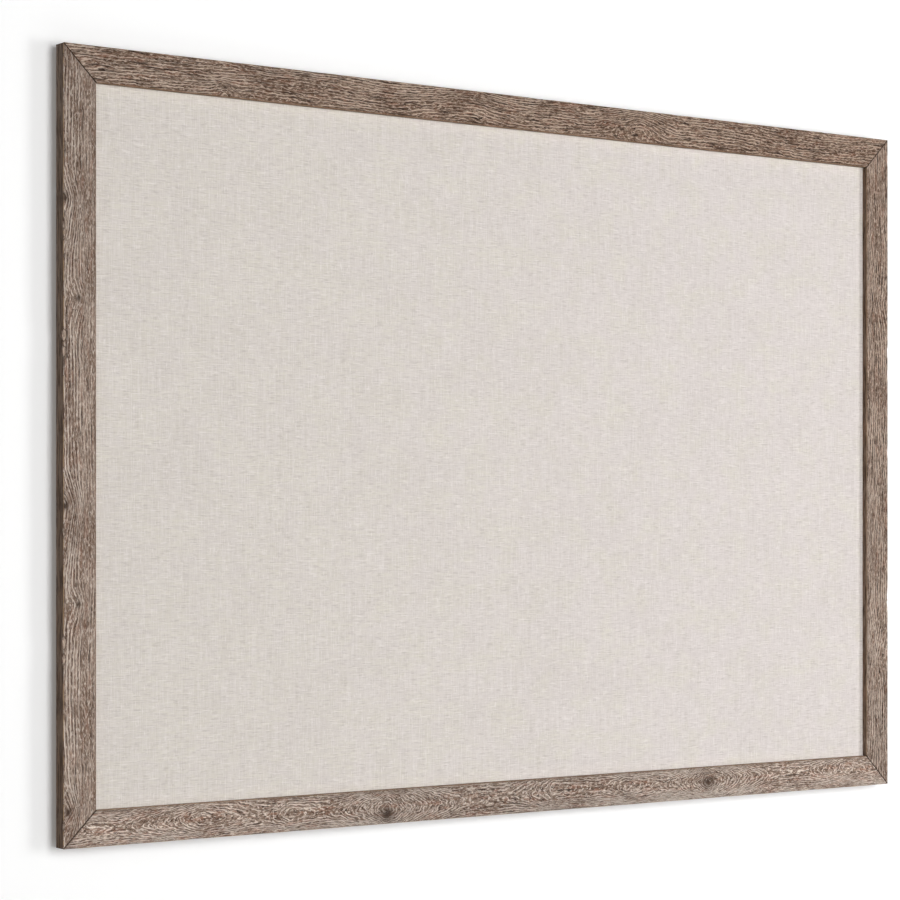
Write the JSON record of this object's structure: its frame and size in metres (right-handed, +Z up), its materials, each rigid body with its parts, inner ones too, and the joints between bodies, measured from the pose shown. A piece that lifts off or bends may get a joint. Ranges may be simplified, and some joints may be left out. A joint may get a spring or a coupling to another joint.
{
  "type": "bulletin board",
  "caption": "Wall-hung pin board: linen over a cork core in a mitred flat wood frame, with turn buttons and D-ring hangers at the back.",
  "frame": {"origin": "on the wall plane, midway between the two wall hooks, at the height at which the D rings bear on the hooks", "axes": "+X to the right seen from the front, along the long side; +Y into the wall, so the front faces -Y; +Z up"},
  "size_m": [1, 0.0188, 0.7],
  "materials": {
    "limed_wood": "matte",
    "linen": "matte",
    "cork": "matte",
    "hardboard": "satin",
    "zinced_steel": "satin",
    "brassed_steel": "satin",
    "nail_steel": "satin",
    "pad_rubber": "matte"
  },
  "bodies": {
    "board": {"top_rail": "limed_wood", "bottom_rail": "limed_wood", "left_stile": "limed_wood", "right_stile": "limed_wood", "linen_cover": "linen", "cork_core": "cork", "backing_board": "hardboard", "v_nail_bottom_left_outer": "nail_steel", "v_nail_bottom_left_inner": "nail_steel", "v_nail_bottom_right_outer": "nail_steel", "v_nail_bottom_right_inner": "nail_steel", "v_nail_top_right_outer": "nail_steel", "v_nail_top_right_inner": "nail_steel", "v_nail_top_left_outer": "nail_steel", "v_nail_top_left_inner": "nail_steel", "hanger_strap_left": "zinced_steel", "hanger_strap_right": "zinced_steel", "hanger_screw_left_upper": "zinced_steel", "hanger_screw_left_lower": "zinced_steel", "hanger_screw_right_upper": "zinced_steel", "hanger_screw_right_lower": "zinced_steel", "turn_button_screw_bottom_1": "brassed_steel", "turn_button_screw_bottom_2": "brassed_steel", "turn_button_screw_bottom_3": "brassed_steel", "turn_button_screw_right_1": "brassed_steel", "turn_button_screw_right_2": "brassed_steel", "turn_button_screw_top_1": "brassed_steel", "turn_button_screw_top_2": "brassed_steel", "turn_button_screw_top_3": "brassed_steel", "turn_button_screw_left_1": "brassed_steel", "turn_button_screw_left_2": "brassed_steel", "bumper_bottom_left": "pad_rubber", "bumper_bottom_right": "pad_rubber", "bumper_top_right": "pad_rubber", "bumper_top_left": "pad_rubber"},
    "ring_left": {"d_ring_left": "zinced_steel"},
    "ring_right": {"d_ring_right": "zinced_steel"},
    "button_bottom_1": {"turn_button_bottom_1": "brassed_steel"},
    "button_bottom_2": {"turn_button_bottom_2": "brassed_steel"},
    "button_bottom_3": {"turn_button_bottom_3": "brassed_steel"},
    "button_right_1": {"turn_button_right_1": "brassed_steel"},
    "button_right_2": {"turn_button_right_2": "brassed_steel"},
    "button_top_1": {"turn_button_top_1": "brassed_steel"},
    "button_top_2": {"turn_button_top_2": "brassed_steel"},
    "button_top_3": {"turn_button_top_3": "brassed_steel"},
    "button_left_1": {"turn_button_left_1": "brassed_steel"},
    "button_left_2": {"turn_button_left_2": "brassed_steel"}
  },
  "joints": [
    {"name": "ring_left_swing", "type": "hinge", "parent": "board", "child": "ring_left", "pos_m": [-0.4875, -0.0024, -0.0115], "axis": [-1, 0, 0], "range_deg": [0, 180]},
    {"name": "ring_right_swing", "type": "hinge", "parent": "board", "child": "ring_right", "pos_m": [0.4875, -0.0024, -0.0115], "axis": [-1, 0, 0], "range_deg": [0, 180]},
    {"name": "button_bottom_1_turn", "type": "hinge", "parent": "board", "child": "button_bottom_1", "pos_m": [-0.36, -0.004, -0.564], "axis": [0, 1, 0], "continuous": true},
    {"name": "button_bottom_2_turn", "type": "hinge", "parent": "board", "child": "button_bottom_2", "pos_m": [0, -0.004, -0.564], "axis": [0, 1, 0], "continuous": true},
    {"name": "button_bottom_3_turn", "type": "hinge", "parent": "board", "child": "button_bottom_3", "pos_m": [0.36, -0.004, -0.564], "axis": [0, 1, 0], "continuous": true},
    {"name": "button_right_1_turn", "type": "hinge", "parent": "board", "child": "button_right_1", "pos_m": [0.484, -0.004, -0.356], "axis": [0, 1, 0], "continuous": true},
    {"name": "button_right_2_turn", "type": "hinge", "parent": "board", "child": "button_right_2", "pos_m": [0.484, -0.004, -0.104], "axis": [0, 1, 0], "continuous": true},
    {"name": "button_top_1_turn", "type": "hinge", "parent": "board", "child": "button_top_1", "pos_m": [0.36, -0.004, 0.104], "axis": [0, 1, 0], "continuous": true},
    {"name": "button_top_2_turn", "type": "hinge", "parent": "board", "child": "button_top_2", "pos_m": [0, -0.004, 0.104], "axis": [0, 1, 0], "continuous": true},
    {"name": "button_top_3_turn", "type": "hinge", "parent": "board", "child": "button_top_3", "pos_m": [-0.36, -0.004, 0.104], "axis": [0, 1, 0], "continuous": true},
    {"name": "button_left_1_turn", "type": "hinge", "parent": "board", "child": "button_left_1", "pos_m": [-0.484, -0.004, -0.104], "axis": [0, 1, 0], "continuous": true},
    {"name": "button_left_2_turn", "type": "hinge", "parent": "board", "child": "button_left_2", "pos_m": [-0.484, -0.004, -0.356], "axis": [0, 1, 0], "continuous": true}
  ]
}
